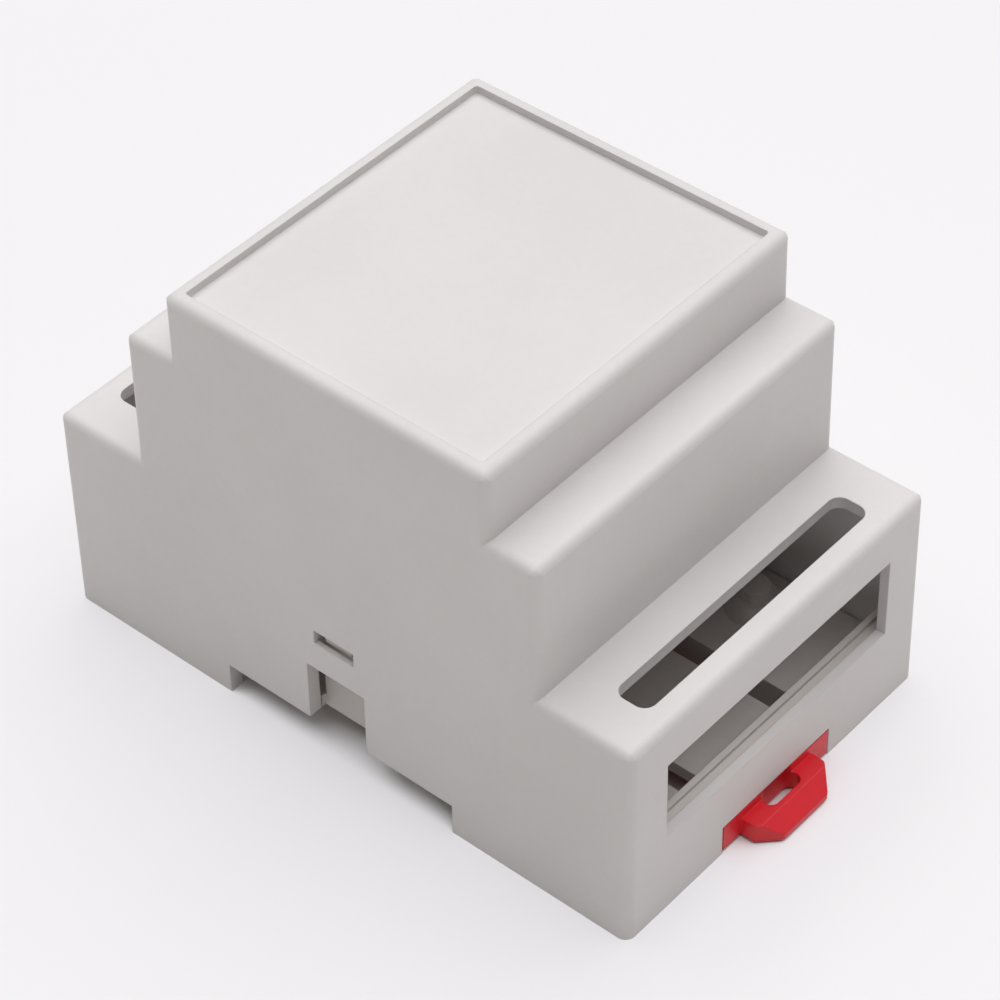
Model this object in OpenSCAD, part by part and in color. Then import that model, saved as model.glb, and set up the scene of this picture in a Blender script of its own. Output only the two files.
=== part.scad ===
// Moulded plastic box that snaps on a 35 mm mounting rail: a stepped cover, the base inside it
// and a sliding rail clip. Millimetres.
// The origin is the middle of the rail channel, on the plane of the feet. X runs along the rail,
// Y from the clip end to the far end, and Z up to the nose.

/* [Body] */
// Width of the box along the rail, at the feet
body_w = 55; // [48:0.5:106]
// Length of the box from end to end
body_l = 88; // [84:0.2:110]
// Height of the nose above the feet
body_h = 59; // [54:0.5:75]
// Distance from the middle of the rail to the clip end
rail_to_clip_end = 44; // [42:0.1:50]
// Lean of the long sides, in degrees
side_lean = 0.85; // [0.5:0.05:1]
// Thickness of the long side walls, at the feet
side_wall = 2; // [1.6:0.1:2.5]
// Thickness of the end walls, shoulder walls and nose walls
end_wall = 1.3; // [1.2:0.1:2.2]
// Thickness of the ledges, shoulders and label field
roof = 1.7; // [1.2:0.1:2.5]
// Radius of the upright corners
corner_r = 1.4; // [1:0.1:2.5]
// Radius of the edges round the ledges, shoulders and nose
edge_r = 1.3; // [0.6:0.1:1.5]

/* [Steps] */
// Height of the terminal ledges
ledge_h = 30.2; // [28:0.1:36]
// Depth of a terminal ledge, from the end to the shoulder wall
ledge_d = 13.3; // [11:0.1:15]
// Height of the shoulders
shoulder_h = 49.6; // [42:0.1:52]
// Depth of a shoulder, from its wall to the nose
shoulder_d = 7; // [5:0.05:9]

/* [Label field] */
// Width of the rim round the label field
label_rim = 1.9; // [1.6:0.1:4]
// Depth of the label field below the rim
label_depth = 1; // [0.3:0.1:1.5]
// Radius of the label field's corners
label_r = 0.4; // [0.2:0.1:2]

/* [Terminal openings] */
// Distance from the long side to the end of a screwdriver slot
driver_slot_side = 7; // [4:0.1:12]
// Width of a screwdriver slot
driver_slot_w = 4.8; // [4:0.05:6.5]
// Distance from the end of the box to a screwdriver slot
driver_slot_inset = 3.15; // [2.5:0.05:4]
// Radius of a screwdriver slot's corners
driver_slot_r = 1.6; // [0.5:0.1:1.9]
// Distance from the long side to the end of a wire slot
wire_slot_side = 6.9; // [4.5:0.05:12]
// Height of a wire slot's sill
wire_slot_sill = 12.1; // [10:0.1:15]
// Height of a wire slot's opening
wire_slot_h = 11.8; // [8:0.1:12]

/* [Rail] */
// Width of the mounting rail
rail_w = 35; // [34.5:0.1:35.5]
// Thickness of the rail's lips
rail_lip_t = 1; // [0.8:0.05:1.3]
// Clearance round the rail's lips
rail_gap = 0.3; // [0.1:0.05:0.5]
// Height of the rail seat above the feet
rail_seat_h = 4.2; // [4:0.1:5]
// Width of each rail seat strip
rail_seat_w = 3; // [2:0.1:4]
// Height of the rail seat strips below the floor
rail_seat_t = 0.3; // [0.2:0.05:0.6]
// Reach of the hooks into the rail channel
hook_reach = 1.8; // [1.2:0.1:2.2]
// Thickness of a hook's tip
hook_tip_t = 0.7; // [0.5:0.1:1]
// Width of each fixed hook
fixed_hook_w = 9; // [6:0.5:12]
// Distance of each fixed hook's middle from the middle of the box
fixed_hook_x = 13; // [8:0.5:16]

/* [Base] */
// Clearance between the base and the cover
base_gap = 0.2; // [0.1:0.05:0.4]
// Thickness of the base's floor
floor_t = 1.8; // [1.4:0.1:2.5]
// Thickness of the base's end walls
base_wall = 1.8; // [1.4:0.1:2.2]
// Thickness of the lip on the base's end walls
base_lip_t = 0.8; // [0.5:0.1:1.2]
// Height of the lip on the base's end walls
base_lip_h = 0.5; // [0.3:0.1:1]
// Thickness of the skirts, cheeks and guide webs under the floor
skirt_t = 1.4; // [1:0.1:2]
// Thickness of the ribs under the floor
rib_t = 1.1; // [0.8:0.1:1.6]
// Distance of the ribs under the floor from the middle of the box
rib_x = 17.5; // [14:0.5:20]
// Diameter of a board boss, where the board rests on it
boss_d = 5.6; // [4.4:0.1:6]
// Height of a board boss above the floor
boss_h = 2.1; // [1:0.1:6]
// Draft of a board boss: how much wider its foot is
boss_flare = 2; // [0.4:0.1:2.2]
// Diameter of the pin on a boss, in the board's hole
pin_d = 3.8; // [2:0.1:4]
// Height of the pin on a boss, the thickness of a board
pin_h = 1.6; // [1:0.1:2.4]
// Distance from the side of the base to the middle of a boss
boss_side = 6; // [4.4:0.05:10]
// Distance from the end of the box to the middle of a boss
boss_end = 18.2; // [10:0.1:22]
// Width of the ribs in the cover's corners, which rest on the base's end walls
corner_rib_w = 1.8; // [1.2:0.1:2.4]

/* [Snap] */
// Width of the notch in the cover's side
notch_w = 9; // [7:0.1:11]
// Height of the notch above the feet
notch_h = 13.5; // [12:0.1:15]
// Height of the bar between the notch and the snap slot
bar_h = 4.2; // [3:0.1:5]
// Thickness of the bar
bar_t = 0.7; // [0.6:0.1:1.2]
// Width of the snap slot
snap_slot_w = 6.2; // [5:0.1:8]
// Height of the snap slot
snap_slot_h = 2.1; // [1.6:0.1:3]
// Width of a snap arm
arm_w = 8.6; // [5:0.1:9]
// Thickness of a snap arm
arm_t = 1.6; // [1.2:0.1:2]
// Distance of a snap arm from the cover's side wall
arm_gap = 0.8; // [0.5:0.1:1.2]
// Height of a snap arm above its hook
arm_rise = 2; // [1.5:0.1:4]
// Clearance of a snap hook in its slot, at each end
snap_side_gap = 1; // [0.3:0.1:1.2]
// Thickness of a snap hook's blunt edge
snap_edge = 0.7; // [0.3:0.1:1]

/* [Rail clip] */
// Width of the clip's flange, in the notch of the end wall
clip_w = 19.9; // [16:0.1:22]
// Clearance between the clip and its guides
clip_gap = 0.2; // [0.1:0.05:0.3]
// Travel of the clip away from the rail
clip_travel = 3.5; // [2.5:0.1:4]
// Height of the clip above the feet
clip_lift = 0.5; // [0.3:0.1:0.8]
// Thickness of the flange that closes the notch
flange_t = 2.9; // [2.6:0.1:3.5]
// Width of the clip's stem and hook
stem_w = 9.6; // [8:0.1:11]
// Width of the pull tab
tab_w = 13.3; // [11:0.1:14]
// Length of the pull tab
tab_l = 4.5; // [3.5:0.1:7]
// Thickness of the pull tab
tab_t = 2.6; // [2:0.1:2.8]
// Thickness of the pull tab's front edge
tab_edge = 0.8; // [0.5:0.1:1.5]
// Length of the slope from the pull tab's top to its front edge
tab_slope = 2; // [1:0.1:2.3]
// Width of the pull tab's front edge
tab_front_w = 8.3; // [6:0.1:10]
// Length of the slanted corners of the pull tab
tab_slant = 2.5; // [1.5:0.1:3]
// Radius of the pull tab's corners
tab_r = 0.7; // [0.3:0.1:1]
// Length of the screwdriver hole
driver_hole_l = 6; // [5:0.1:7]
// Width of the screwdriver hole
driver_hole_w = 2.2; // [2:0.1:3.2]
// Thickness of the flange behind the screwdriver hole
driver_hole_back = 2.5; // [1.6:0.1:2.6]
// Length of the clip's head
head_l = 4; // [3:0.1:5]
// Diameter of the stop peg
peg_d = 3.6; // [2.5:0.1:4.5]
// Thickness of the guide lips under the clip
lip_t = 1.1; // [0.8:0.1:1.3]
// Overlap of the guide lips under the stem
lip_hold = 1.4; // [0.8:0.1:2]
// Distance from the end of the box to the root of the stop tongue
tongue_root = 4.5; // [4:0.1:9]
// Width of the stop tongue
tongue_w = 14.1; // [12:0.1:15]
// Width of the slot across the free end of the stop tongue
tongue_end_gap = 1.4; // [1:0.1:1.6]
// Overlap of the stop tongue over the clip's head
tongue_over = 0.8; // [0.4:0.1:1]

/* [Hidden] */
$fn = 64;

// Length by which a cut runs past the face that it opens
PAST = 1;
// Lean, in degrees, of the cut that carries the rounded edges round a corner
CORNER_LEAN = 4;

body_mid = body_l / 2 - rail_to_clip_end;
inner_w = body_w - 2 * side_wall;
nose_inset = ledge_d + shoulder_d;

channel_half = rail_w / 2 + rail_gap;
clip_cheek = rail_to_clip_end - channel_half;
far_cheek = body_l - rail_to_clip_end - channel_half;
hook_top = rail_seat_h - rail_lip_t - rail_gap;

floor_z = rail_seat_h + rail_seat_t;
floor_top = floor_z + floor_t;
base_w = inner_w - 2 * base_gap;
base_end = end_wall + base_gap;
base_inside = base_end + base_wall;

slot_z = notch_h + bar_h;
bar_face = half_w(slot_z) - bar_t;
arm_face = inner_w / 2 - arm_gap;

clip_way_w = clip_w + 2 * clip_gap;
clip_top = floor_z - clip_gap;
stem_z = clip_lift + lip_t + clip_gap;
lip_x = stem_w / 2 - lip_hold;
lip_start = max(flange_t + clip_gap, base_inside);
head_y = clip_cheek - clip_gap - head_l;
peg_y = head_y - clip_travel - clip_gap - peg_d / 2;
tongue_end = head_y + tongue_over;

function unit(v) = v / norm(v);
function rectangle(w, l) = [[-w / 2, -l / 2], [w / 2, -l / 2], [w / 2, l / 2], [-w / 2, l / 2]];

// Half the width of the box at a height
function half_w(z) = body_w / 2 - z * tan(side_lean);

// Convex outline with each corner rounded to its own radius
module soft_outline(points, radii) {
    n = len(points);
    to_last = [for (i = [0:n - 1]) unit(points[(i + n - 1) % n] - points[i])];
    to_next = [for (i = [0:n - 1]) unit(points[(i + 1) % n] - points[i])];
    half = [for (i = [0:n - 1]) acos(to_last[i] * to_next[i]) / 2];
    run = [for (i = [0:n - 1]) radii[i] / tan(half[i])];
    polygon([for (i = [0:n - 1]) each radii[i] > 0
        ? [points[i] + to_last[i] * run[i], points[i] + to_next[i] * run[i]]
        : [points[i]]]);
    for (i = [0:n - 1])
        if (radii[i] > 0)
            translate(points[i] + unit(to_last[i] + to_next[i]) * radii[i] / sin(half[i]))
                circle(radii[i]);
}

// Outline with two round ends, along X
module stadium(l, w) {
    square([l - w, w], center = true);
    for (side = [-1, 1])
        translate([side * (l - w) / 2, 0]) circle(w / 2);
}

// Outline in the plane of Y and Z, drawn out along X
module along_x(w) {
    rotate([90, 0, 90]) linear_extrude(w, center = true) children();
}

// Outline in the plane of X and Z, drawn out along Y
module along_y(l) {
    rotate([90, 0, 0]) linear_extrude(l, center = true) children();
}

// Block centred in X
module block(w, y0, y1, z0, z1) {
    translate([-w / 2, y0, z0]) cube([w, y1 - y0, z1 - z0]);
}

// The same shape on both sides of the middle plane
module both_sides() {
    for (side = [0, 1])
        mirror([side, 0, 0]) children();
}

// Frame of one end of the box: Y = 0 on the end face, Y pointing inwards
module at_end(side) {
    translate([0, body_mid + side * body_l / 2, 0]) rotate(side > 0 ? 180 : 0) children();
}

module at_both_ends() {
    for (side = [-1, 1])
        at_end(side) children();
}

// Outline that stands on its foot, with leaning sides and rounded upper corners
module soft_top(w, h, lean) {
    out = h * tan(lean);
    soft_outline([[-w / 2 - out, 0], [w / 2 + out, 0], [w / 2, h], [-w / 2, h]], [0, 0, edge_r, edge_r]);
}

// Everything behind the long side that faces +X, with its upright corners rounded
module behind_side(l, top) {
    rise = 2 * body_w * sin(side_lean) + PAST;
    translate([body_w / 2, 0, 0]) rotate([0, -side_lean, 0]) translate([-body_w, 0, -PAST])
        linear_extrude(top + PAST + rise) soft_outline(rectangle(2 * body_w, l), [0, corner_r, corner_r, 0]);
}

// One step of the outline, rounded along its upright and upper edges
module step(inset, top) {
    w = 2 * half_w(top);
    l = body_l - 2 * inset;
    across = (w + l) / sqrt(2) - 2 * (sqrt(2) - 1) * corner_r;
    translate([0, body_mid, 0]) intersection() {
        behind_side(l, top);
        mirror([1, 0, 0]) behind_side(l, top);
        along_y(l) soft_top(w, top, side_lean);
        along_x(body_w) soft_top(l, top, 0);
        rotate(45) along_x(body_w + l) soft_top(across, top, CORNER_LEAN);
        rotate(-45) along_x(body_w + l) soft_top(across, top, CORNER_LEAN);
    }
}

// Hollow inside one step, open at the feet
module step_hollow(inset, top) {
    l = body_l - 2 * (inset + end_wall);
    translate([0, body_mid, 0]) block(inner_w, -l / 2, l / 2, -PAST, top);
}

// Stepped shell with its ledges, shoulders and nose
module stepped_shell() {
    difference() {
        union() {
            step(0, ledge_h);
            step(ledge_d, shoulder_h);
            step(nose_inset, body_h);
        }
        step_hollow(0, ledge_h - roof);
        step_hollow(ledge_d, shoulder_h - roof);
        step_hollow(nose_inset, body_h - label_depth - roof);
    }
}

// Ribs in the corners of one end, which rest on the base's end wall
module corner_ribs() {
    both_sides() translate([inner_w / 2 - corner_rib_w, end_wall / 2, wire_slot_sill])
        cube([corner_rib_w + side_wall / 2, base_inside - end_wall / 2, ledge_h - roof / 2 - wire_slot_sill]);
}

// Sunk field for a label on top of the nose
module label_field() {
    w = 2 * (half_w(body_h) - label_rim);
    l = body_l - 2 * (nose_inset + label_rim);
    translate([0, body_mid, body_h - label_depth]) linear_extrude(label_depth + PAST)
        soft_outline(rectangle(w, l), [for (i = [1:4]) label_r]);
}

// Slots for a screwdriver and for wires at one end
module terminal_slots() {
    translate([0, driver_slot_inset + driver_slot_w / 2, ledge_h - roof - PAST])
        linear_extrude(roof + 2 * PAST)
            soft_outline(rectangle(body_w - 2 * driver_slot_side, driver_slot_w),
                         [for (i = [1:4]) driver_slot_r]);
    block(body_w - 2 * wire_slot_side, -PAST, end_wall + PAST, wire_slot_sill, wire_slot_sill + wire_slot_h);
}

// Notch, slot and thinned bar for a snap hook, in the side wall that faces +X
module snap_openings() {
    translate([inner_w / 2 - PAST, 0, 0]) {
        translate([0, -notch_w / 2, -PAST]) cube([side_wall + 2 * PAST, notch_w, notch_h + PAST]);
        translate([0, -snap_slot_w / 2, slot_z]) cube([side_wall + 2 * PAST, snap_slot_w, snap_slot_h]);
        translate([0, -snap_slot_w / 2, notch_h - PAST])
            cube([bar_face - inner_w / 2 + PAST, snap_slot_w, bar_h + snap_slot_h]);
    }
}

module cover() {
    color("#dcdad8") difference() {
        union() {
            stepped_shell();
            at_both_ends() corner_ribs();
        }
        label_field();
        at_both_ends() terminal_slots();
        at_end(-1) block(clip_way_w, -PAST, end_wall + PAST, -PAST, floor_z);
        block(body_w + 2 * PAST, -channel_half, channel_half, -PAST, floor_z);
        both_sides() snap_openings();
    }
}

// Outline of a hook that reaches under the rail's lip along +X, with a slanted underside
module hook_outline(root) {
    polygon([[-root, clip_lift], [0, clip_lift], [hook_reach, hook_top - hook_tip_t],
             [hook_reach, hook_top], [-root, hook_top]]);
}

// Floor plate, with the end walls that stand behind the cover's sills and their lips
module tray() {
    l = body_l - 2 * base_end;
    translate([0, body_mid, 0]) block(base_w, -l / 2, l / 2, floor_z, floor_top);
    at_both_ends() {
        block(base_w, base_end, base_inside, 0, wire_slot_sill - base_lip_h);
        block(base_w, base_inside - base_lip_t, base_inside, 0, wire_slot_sill);
    }
}

// Skirts, ribs and the rail channel's cheek under the floor at one end
module under_floor(cheek) {
    both_sides() {
        translate([base_w / 2 - skirt_t, base_end, 0]) cube([skirt_t, cheek - base_end, floor_top]);
        translate([rib_x - rib_t / 2, base_end, 0]) cube([rib_t, cheek - base_end, floor_top]);
    }
    block(base_w, cheek - skirt_t, cheek, 0, floor_top);
}

// Strips that the rail's lips bear on, between the hooks
module rail_seats() {
    reach = channel_half - hook_reach - clip_gap;
    for (side = [-1, 1])
        translate([0, side * (reach - rail_seat_w / 2), 0])
            block(base_w, -rail_seat_w / 2, rail_seat_w / 2, rail_seat_h, floor_top);
}

// Hooks at the far side of the rail channel
module fixed_hooks() {
    for (side = [-1, 1])
        translate([side * fixed_hook_x, far_cheek, 0]) along_x(fixed_hook_w) hook_outline(skirt_t);
}

// Webs beside the clip's way and lips under its stem
module clip_guides() {
    both_sides() {
        translate([clip_way_w / 2, base_end, 0]) cube([skirt_t, clip_cheek - base_end, floor_top]);
        translate([lip_x, lip_start, clip_lift])
            cube([clip_way_w / 2 + skirt_t / 2 - lip_x, clip_cheek - lip_start, lip_t]);
    }
}

// Slots that free the stop tongue in the floor above the clip
module tongue_slots() {
    difference() {
        block(clip_way_w, tongue_root, tongue_end + tongue_end_gap, floor_z - PAST, floor_top + PAST);
        block(tongue_w, tongue_root - PAST, tongue_end, floor_z - 2 * PAST, floor_top + 2 * PAST);
    }
}

// Peg under the stop tongue, in the window of the clip's stem
module stop_peg() {
    foot = stem_z + clip_gap;
    translate([0, peg_y, foot]) cylinder(h = floor_top - foot, d = peg_d);
}

// Room in the edge of the floor, in front of the snap arm that faces +X
module arm_room() {
    translate([arm_face, -notch_w / 2, floor_z - PAST])
        cube([base_w / 2 - arm_face + PAST, notch_w, floor_t + 2 * PAST]);
}

// Snap arm with its hook, on the side that faces +X
module snap_arm() {
    foot = slot_z + base_gap;
    top = slot_z + snap_slot_h - base_gap;
    tip = bar_face - base_gap;
    translate([arm_face - arm_t, -arm_w / 2, floor_z]) cube([arm_t, arm_w, top + arm_rise - floor_z]);
    along_y(snap_slot_w - 2 * snap_side_gap)
        polygon([[arm_face - arm_t / 2, foot], [tip, foot], [tip, foot + snap_edge], [base_w / 2, top],
                 [arm_face, top + arm_rise / 2], [arm_face - arm_t / 2, top + arm_rise / 2]]);
}

// Bosses that a circuit board rests on at one end, with pins that hold it in place
module board_bosses() {
    both_sides() translate([base_w / 2 - boss_side, boss_end, floor_top]) {
        cylinder(h = boss_h, d1 = boss_d + boss_flare, d2 = boss_d);
        cylinder(h = boss_h + pin_h, d = pin_d);
    }
}

module base() {
    color("#d2d0ce") {
        difference() {
            union() {
                tray();
                at_end(-1) under_floor(clip_cheek);
                at_end(1) under_floor(far_cheek);
            }
            at_end(-1) block(clip_way_w, base_end - PAST, clip_cheek + PAST, -PAST, floor_z);
            at_end(-1) tongue_slots();
            both_sides() arm_room();
        }
        at_end(-1) clip_guides();
        at_end(-1) stop_peg();
        at_end(1) fixed_hooks();
        at_both_ends() board_bosses();
        rail_seats();
        both_sides() snap_arm();
    }
}

// Pull tab outside the end wall, with a top that slopes down to its front edge
module pull_tab() {
    root = flange_t / 2;
    top = clip_lift + tab_t;
    outline = [[-tab_front_w / 2, -tab_l], [tab_front_w / 2, -tab_l], [tab_w / 2, tab_slant - tab_l],
               [tab_w / 2, root], [-tab_w / 2, root], [-tab_w / 2, tab_slant - tab_l]];
    intersection() {
        translate([0, 0, clip_lift]) linear_extrude(tab_t)
            soft_outline(outline, [tab_r, tab_r, tab_r, 0, 0, tab_r]);
        along_x(tab_w + 2 * PAST)
            polygon([[-tab_l, 0], [root, 0], [root, top], [tab_slope - tab_l, top],
                     [-tab_l, clip_lift + tab_edge]]);
    }
}

// Head that hooks under the rail's lip, with a keel that runs between the guide lips
module clip_head() {
    intersection() {
        translate([0, clip_cheek, 0]) along_x(stem_w) hook_outline(head_l);
        block(stem_w, head_y, clip_cheek + hook_reach + PAST, stem_z, clip_top);
    }
    translate([0, clip_cheek, 0]) along_x(2 * (lip_x - clip_gap)) hook_outline(head_l);
}

// Window in the stem that the stop peg runs in
module peg_window() {
    w = peg_d + 2 * clip_gap;
    start = peg_y - w / 2;
    translate([0, (start + head_y) / 2, stem_z - PAST]) rotate(90)
        linear_extrude(clip_top - stem_z + 2 * PAST) stadium(head_y - start, w);
}

module rail_clip() {
    color("#c8202c") at_end(-1) difference() {
        union() {
            block(clip_w, 0, flange_t, clip_lift, clip_top);
            pull_tab();
            block(stem_w, flange_t / 2, clip_cheek - clip_gap, stem_z, clip_top);
            clip_head();
        }
        translate([0, flange_t - driver_hole_back - driver_hole_w / 2, 0])
            linear_extrude(clip_top + PAST) stadium(driver_hole_l, driver_hole_w);
        peg_window();
    }
}

cover();
base();
rail_clip();
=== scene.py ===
"""Looks of the rail-mount plastic box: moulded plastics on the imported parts, studio light and the camera."""
import math

import bpy
import bmesh
from mathutils import Matrix, Vector


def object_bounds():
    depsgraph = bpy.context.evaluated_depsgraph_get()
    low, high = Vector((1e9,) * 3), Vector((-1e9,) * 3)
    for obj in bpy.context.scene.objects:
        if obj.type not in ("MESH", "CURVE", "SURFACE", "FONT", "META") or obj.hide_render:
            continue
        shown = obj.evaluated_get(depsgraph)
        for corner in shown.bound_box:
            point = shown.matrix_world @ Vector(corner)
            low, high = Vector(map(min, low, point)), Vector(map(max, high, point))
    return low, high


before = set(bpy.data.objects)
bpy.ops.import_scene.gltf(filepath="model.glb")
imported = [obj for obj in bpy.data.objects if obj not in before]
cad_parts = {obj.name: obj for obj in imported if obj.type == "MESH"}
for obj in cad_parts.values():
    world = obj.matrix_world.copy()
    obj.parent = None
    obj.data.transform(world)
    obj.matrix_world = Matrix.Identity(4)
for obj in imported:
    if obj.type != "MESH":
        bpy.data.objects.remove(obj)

CAD_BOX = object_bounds()
MM = 0.001

# Sockets of the Mix node, where it mixes two colours
MIX_SHARE, MIX_FIRST, MIX_SECOND = 0, 6, 7
MIX_RESULT = 2

# Range that holds most of the values of a noise
NOISE_LOW = 0.3
NOISE_HIGH = 0.7

# Radius of the small edges that the moulds leave, in millimetres, and the rays that round them
MOULDED_EDGE_R = 0.2
MOULDED_EDGE_SAMPLES = 6

# ABS, with the sizes of its clouds and specks in millimetres. Its tone is the clouds with a share of the
# specks added, and goes from pale to deep between two values of that sum.
ABS_IOR = 1.54
ABS_CLOUD = 22
ABS_SPECK = 1.1
ABS_SPECK_SHARE = 0.3
ABS_PALE_SUM = 0.4
ABS_DEEP_SUM = 0.9
ABS_GRAIN_STRENGTH = 0.35
ABS_GLOSS_SPREAD = 0.06

# Nylon, with the sizes of its clouds and drag lines in millimetres. The lines are drawn out along Y, to so
# many times their width.
NYLON_IOR = 1.45
NYLON_CLOUD = 5
NYLON_LINE = 0.6
NYLON_LINE_STRETCH = 12.5
NYLON_LINE_DEPTH = 0.02
NYLON_LINE_STRENGTH = 0.3
NYLON_GLOSS_SPREAD = 0.08

# Camera of the photograph, in degrees, millimetres and pixels of a 1000 pixel wide picture
CAMERA_AZIMUTH = -48.34
CAMERA_ELEVATION = 43.32
CAMERA_ROLL = -1.56
CAMERA_DISTANCE = 414.7
CAMERA_TARGET = Vector((0, 0, 29.5))
CAMERA_ASIDE = 1.735
CAMERA_BELOW = 5.075
FOCAL_PIXELS = 3530
PICTURE_PIXELS = 1000
SENSOR_WIDTH = 36

# Light: the sky and the lamp together light a level surface at about 1. The lamp's angles are in degrees.
SKY_LEVEL = 0.14
LAMP_LEVEL = 0.86
LAMP_AZIMUTH = 110
LAMP_ELEVATION = 80
LAMP_SPREAD = 80
LIGHT_COLOUR = "#fdf9f6"
BACKDROP_COLOUR = "#f8f5fb"

# Floor, with its width in metres and the size of the paper's clouds in millimetres
FLOOR_WIDTH = 6.0
PAPER_COLOUR = "#f5f3f2"
PAPER_CLOUD_COLOUR = "#f3f1f0"
PAPER_CLOUD = 60
# Share of the floor that is seen as plain backdrop, which keeps its shadow soft
BACKDROP_SHARE = 0.5
# How far the paper looks for what shades it, in millimetres, with how many rays, and the open share of the
# sky that counts as none and as all. Beside a wall half the sky is open, so the backdrop fades only under
# the box.
SHADE_REACH = 100
SHADE_SAMPLES = 16
SHADE_NONE_OPEN = 0.25
SHADE_ALL_OPEN = 0.5


def linear(hex_colour):
    """Linear colour, with alpha, of an sRGB hex value."""
    channels = [int(hex_colour[i:i + 2], 16) / 255 for i in (1, 3, 5)]
    return [c / 12.92 if c <= 0.04045 else ((c + 0.055) / 1.055) ** 2.4 for c in channels] + [1.0]


def per_metre(size_mm):
    """Texture scale that gives features of this size."""
    return 1 / (size_mm * MM)


def direction(azimuth, elevation):
    """Unit vector from the box, by angles in degrees. Azimuth 0 is off the clip end, and 90 is towards +X."""
    azimuth, elevation = math.radians(azimuth), math.radians(elevation)
    return Vector((math.sin(azimuth) * math.cos(elevation), -math.cos(azimuth) * math.cos(elevation),
                   math.sin(elevation)))


def add(tree, kind, settings, inputs):
    """Adds a node with its settings. An input is given as a value, or as the socket that it is linked
    to."""
    node = tree.nodes.new(kind)
    for name, value in settings.items():
        setattr(node, name, value)
    for name, value in inputs.items():
        if isinstance(value, bpy.types.NodeSocket):
            tree.links.new(value, node.inputs[name])
        else:
            node.inputs[name].default_value = value
    return node


def new_material(name):
    """Empty material, with its node tree and its Object coordinates."""
    material = bpy.data.materials.new(name)
    material.use_nodes = True
    tree = material.node_tree
    tree.nodes.clear()
    place = add(tree, "ShaderNodeTexCoord", {}, {})
    return material, tree, place.outputs["Object"]


def finish_plastic(tree, colour, gloss, ior, relief, relief_strength, relief_depth_mm):
    """Adds the surface of a moulded plastic. No moulded edge is quite sharp, so each is rounded a little."""
    edges = add(tree, "ShaderNodeBevel", {"samples": MOULDED_EDGE_SAMPLES}, {
        "Radius": MOULDED_EDGE_R * MM})
    skin = add(tree, "ShaderNodeBump", {}, {
        "Height": relief, "Strength": relief_strength, "Distance": relief_depth_mm * MM,
        "Normal": edges.outputs["Normal"]})
    shader = add(tree, "ShaderNodeBsdfPrincipled", {}, {
        "Base Color": colour, "Roughness": gloss, "IOR": ior, "Normal": skin.outputs["Normal"]})
    add(tree, "ShaderNodeOutputMaterial", {}, {"Surface": shader.outputs["BSDF"]})


def moulded_abs(name, pale, deep, grain_mm, grain_depth_mm, roughness):
    """ABS from a spark-eroded mould: an even matt skin, with a fine grain that breaks up its highlights,
    and faint clouds where the melt flowed."""
    material, tree, place = new_material(name)
    clouds = add(tree, "ShaderNodeTexNoise", {}, {
        "Vector": place, "Scale": per_metre(ABS_CLOUD), "Detail": 3.0, "Roughness": 0.55})
    specks = add(tree, "ShaderNodeTexNoise", {}, {
        "Vector": place, "Scale": per_metre(ABS_SPECK), "Detail": 2.0, "Roughness": 0.6})
    flow = add(tree, "ShaderNodeMath", {"operation": "MULTIPLY_ADD"}, {
        0: specks.outputs["Fac"], 1: ABS_SPECK_SHARE, 2: clouds.outputs["Fac"]})
    tone = add(tree, "ShaderNodeMapRange", {"interpolation_type": "SMOOTHSTEP"}, {
        "Value": flow.outputs[0], "From Min": ABS_PALE_SUM, "From Max": ABS_DEEP_SUM})
    colour = add(tree, "ShaderNodeMix", {"data_type": "RGBA"}, {
        MIX_SHARE: tone.outputs["Result"], MIX_FIRST: linear(pale), MIX_SECOND: linear(deep)})
    # The real grain is near 0.05 mm. It is drawn coarser, so that it shows at the size of the picture.
    grain = add(tree, "ShaderNodeTexNoise", {}, {
        "Vector": place, "Scale": per_metre(grain_mm), "Detail": 2.0, "Roughness": 0.6})
    gloss = add(tree, "ShaderNodeMapRange", {}, {
        "Value": grain.outputs["Fac"], "From Min": NOISE_LOW, "From Max": NOISE_HIGH,
        "To Min": roughness - ABS_GLOSS_SPREAD, "To Max": roughness + ABS_GLOSS_SPREAD})
    finish_plastic(tree, colour.outputs[MIX_RESULT], gloss.outputs["Result"], ABS_IOR,
                   grain.outputs["Fac"], ABS_GRAIN_STRENGTH, grain_depth_mm)
    return material


def moulded_nylon(name, bright, deep, roughness):
    """Nylon from a polished mould: a strong even colour with a soft gloss, and long faint drag lines along
    the way that the piece left its mould and slides in its guides."""
    material, tree, place = new_material(name)
    drawn = add(tree, "ShaderNodeMapping", {}, {
        "Vector": place, "Scale": (1.0, 1 / NYLON_LINE_STRETCH, 1.0)})
    lines = add(tree, "ShaderNodeTexNoise", {}, {
        "Vector": drawn.outputs["Vector"], "Scale": per_metre(NYLON_LINE), "Detail": 3.0,
        "Roughness": 0.6})
    clouds = add(tree, "ShaderNodeTexNoise", {}, {
        "Vector": place, "Scale": per_metre(NYLON_CLOUD), "Detail": 2.0, "Roughness": 0.5})
    colour = add(tree, "ShaderNodeMix", {"data_type": "RGBA"}, {
        MIX_SHARE: clouds.outputs["Fac"], MIX_FIRST: linear(bright), MIX_SECOND: linear(deep)})
    gloss = add(tree, "ShaderNodeMapRange", {}, {
        "Value": lines.outputs["Fac"], "From Min": NOISE_LOW, "From Max": NOISE_HIGH,
        "To Min": roughness - NYLON_GLOSS_SPREAD, "To Max": roughness + NYLON_GLOSS_SPREAD})
    finish_plastic(tree, colour.outputs[MIX_RESULT], gloss.outputs["Result"], NYLON_IOR,
                   lines.outputs["Fac"], NYLON_LINE_STRENGTH, NYLON_LINE_DEPTH)
    return material


def dress(node, material):
    """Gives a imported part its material."""
    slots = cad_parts[node].data.materials
    slots.clear()
    slots.append(material)


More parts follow.
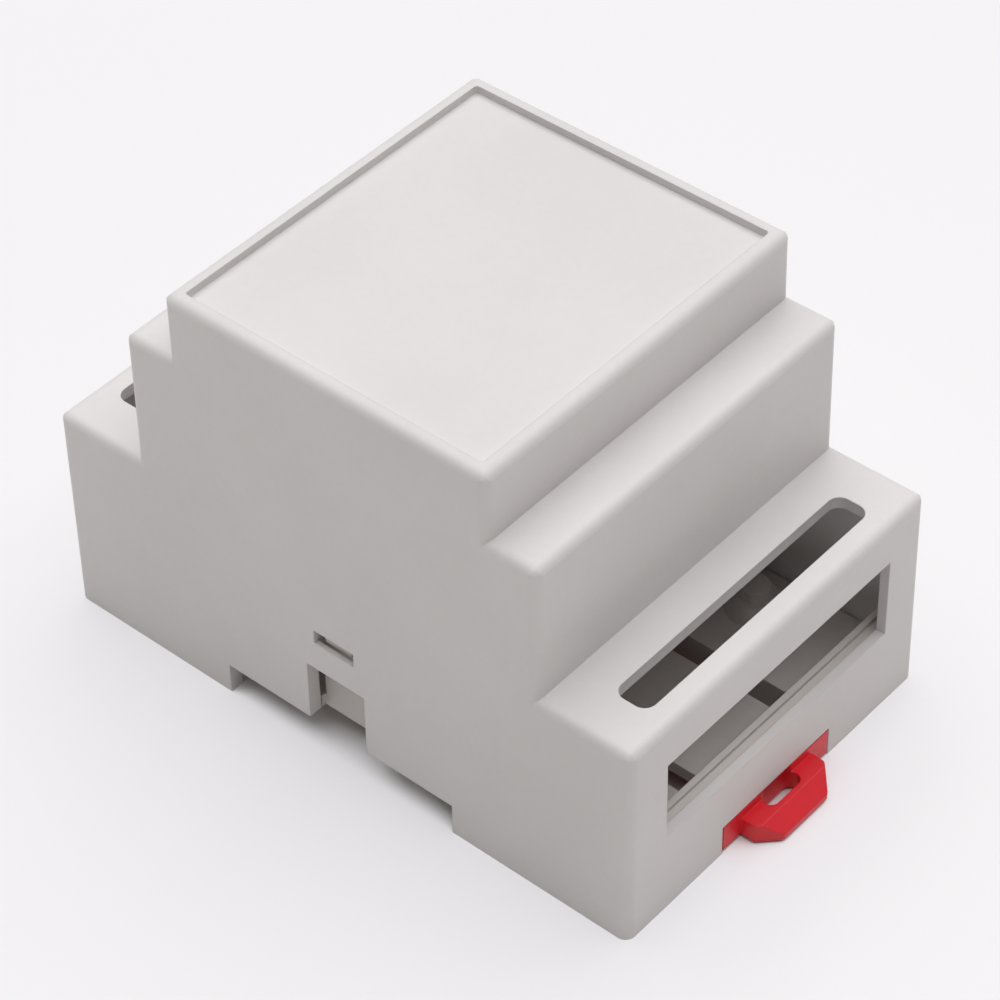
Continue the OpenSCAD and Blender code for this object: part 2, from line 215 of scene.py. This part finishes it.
def seen_rays(tree):
    """Socket that is 1 where the camera sees a surface, directly, in gloss or through something clear,
    and 0 where light bounces off it."""
    path = add(tree, "ShaderNodeLightPath", {}, {})
    direct = add(tree, "ShaderNodeMath", {"operation": "MAXIMUM"}, {
        0: path.outputs["Is Camera Ray"], 1: path.outputs["Is Glossy Ray"]})
    seen = add(tree, "ShaderNodeMath", {"operation": "MAXIMUM"}, {
        0: direct.outputs[0], 1: path.outputs["Is Transmission Ray"]})
    return seen.outputs[0]


def studio_paper():
    """Matt paper with faint clouds, seen partly as a plain backdrop."""
    material, tree, place = new_material("studio_paper")
    clouds = add(tree, "ShaderNodeTexNoise", {}, {
        "Vector": place, "Scale": per_metre(PAPER_CLOUD), "Detail": 3.0, "Roughness": 0.5})
    colour = add(tree, "ShaderNodeMix", {"data_type": "RGBA"}, {
        MIX_SHARE: clouds.outputs["Fac"], MIX_FIRST: linear(PAPER_COLOUR),
        MIX_SECOND: linear(PAPER_CLOUD_COLOUR)})
    paper = add(tree, "ShaderNodeBsdfPrincipled", {}, {
        "Base Color": colour.outputs[MIX_RESULT], "Roughness": 0.9, "Specular IOR Level": 0.1})
    backdrop = add(tree, "ShaderNodeEmission", {}, {"Color": linear(BACKDROP_COLOUR), "Strength": 1.0})
    sky = add(tree, "ShaderNodeAmbientOcclusion", {"samples": SHADE_SAMPLES}, {
        "Distance": SHADE_REACH * MM})
    unshaded = add(tree, "ShaderNodeMapRange", {}, {
        "Value": sky.outputs["AO"], "From Min": SHADE_NONE_OPEN, "From Max": SHADE_ALL_OPEN,
        "To Max": BACKDROP_SHARE})
    share = add(tree, "ShaderNodeMath", {"operation": "MULTIPLY"}, {
        0: seen_rays(tree), 1: unshaded.outputs["Result"]})
    surface = add(tree, "ShaderNodeMixShader", {}, {
        "Fac": share.outputs[0], 1: paper.outputs["BSDF"], 2: backdrop.outputs["Emission"]})
    add(tree, "ShaderNodeOutputMaterial", {}, {"Surface": surface.outputs["Shader"]})
    return material


def add_floor():
    """Level sheet of paper that the box stands on."""
    mesh = bpy.data.meshes.new("floor")
    shape = bmesh.new()
    bmesh.ops.create_grid(shape, x_segments=1, y_segments=1, size=FLOOR_WIDTH / 2)
    bmesh.ops.translate(shape, verts=shape.verts, vec=(0, 0, CAD_BOX[0][2]))
    shape.to_mesh(mesh)
    shape.free()
    floor = bpy.data.objects.new("floor", mesh)
    bpy.context.scene.collection.objects.link(floor)
    mesh.materials.append(studio_paper())


def add_sky():
    """Even sky that lights the box, shown as a pale backdrop to the camera and in reflections."""
    world = bpy.data.worlds.new("studio_sky")
    bpy.context.scene.world = world
    world.use_nodes = True
    tree = world.node_tree
    tree.nodes.clear()
    seen = seen_rays(tree)
    level = add(tree, "ShaderNodeMapRange", {}, {"Value": seen, "To Min": SKY_LEVEL, "To Max": 1.0})
    colour = add(tree, "ShaderNodeMix", {"data_type": "RGBA"}, {
        MIX_SHARE: seen, MIX_FIRST: linear(LIGHT_COLOUR), MIX_SECOND: linear(BACKDROP_COLOUR)})
    glow = add(tree, "ShaderNodeBackground", {}, {
        "Color": colour.outputs[MIX_RESULT], "Strength": level.outputs["Result"]})
    add(tree, "ShaderNodeOutputWorld", {}, {"Surface": glow.outputs["Background"]})


def add_lamp():
    """Broad soft lamp, high over the box."""
    lamp = bpy.data.lights.new("softbox", "SUN")
    lamp.energy = math.pi * LAMP_LEVEL / math.sin(math.radians(LAMP_ELEVATION))
    lamp.angle = math.radians(LAMP_SPREAD)
    softbox = bpy.data.objects.new("softbox", lamp)
    toward = direction(LAMP_AZIMUTH, LAMP_ELEVATION)
    softbox.rotation_euler = toward.to_track_quat("Z", "Y").to_euler()
    bpy.context.scene.collection.objects.link(softbox)


def add_camera():
    """Camera that sees the box as the photograph does."""
    back = direction(CAMERA_AZIMUTH, CAMERA_ELEVATION)
    roll = math.radians(CAMERA_ROLL)
    level_right = Vector((0, 0, 1)).cross(back).normalized()
    level_up = back.cross(level_right)
    right = math.cos(roll) * level_right + math.sin(roll) * level_up
    up = math.cos(roll) * level_up - math.sin(roll) * level_right
    place = (CAMERA_TARGET + CAMERA_ASIDE * right - CAMERA_BELOW * up + CAMERA_DISTANCE * back) * MM
    lens = bpy.data.cameras.new("camera")
    lens.sensor_width = SENSOR_WIDTH
    lens.lens = SENSOR_WIDTH * FOCAL_PIXELS / PICTURE_PIXELS
    camera = bpy.data.objects.new("camera", lens)
    turn = Matrix((right, up, back)).transposed().to_4x4()
    camera.matrix_world = Matrix.Translation(place) @ turn
    bpy.context.scene.collection.objects.link(camera)
    bpy.context.scene.camera = camera


dress("cover", moulded_abs("moulded_abs_light_grey", pale="#dedbda", deep="#d9d6d5",
                           grain_mm=0.35, grain_depth_mm=0.03, roughness=0.52))
# The base is moulded from the same light grey ABS as the cover. Its two colours are set darker and warmer than
# the cover's as painted shade, standing for the dim light inside the box.
dress("base", moulded_abs("moulded_abs_grey_painted_shade", pale="#d1cbc7", deep="#cac4c0",
                          grain_mm=0.5, grain_depth_mm=0.02, roughness=0.46))
dress("rail_clip", moulded_nylon("moulded_nylon_red", bright="#ea1e2e", deep="#d81b28", roughness=0.36))
add_floor()
add_sky()
add_lamp()
add_camera()
bpy.context.scene.view_settings.view_transform = "Standard"
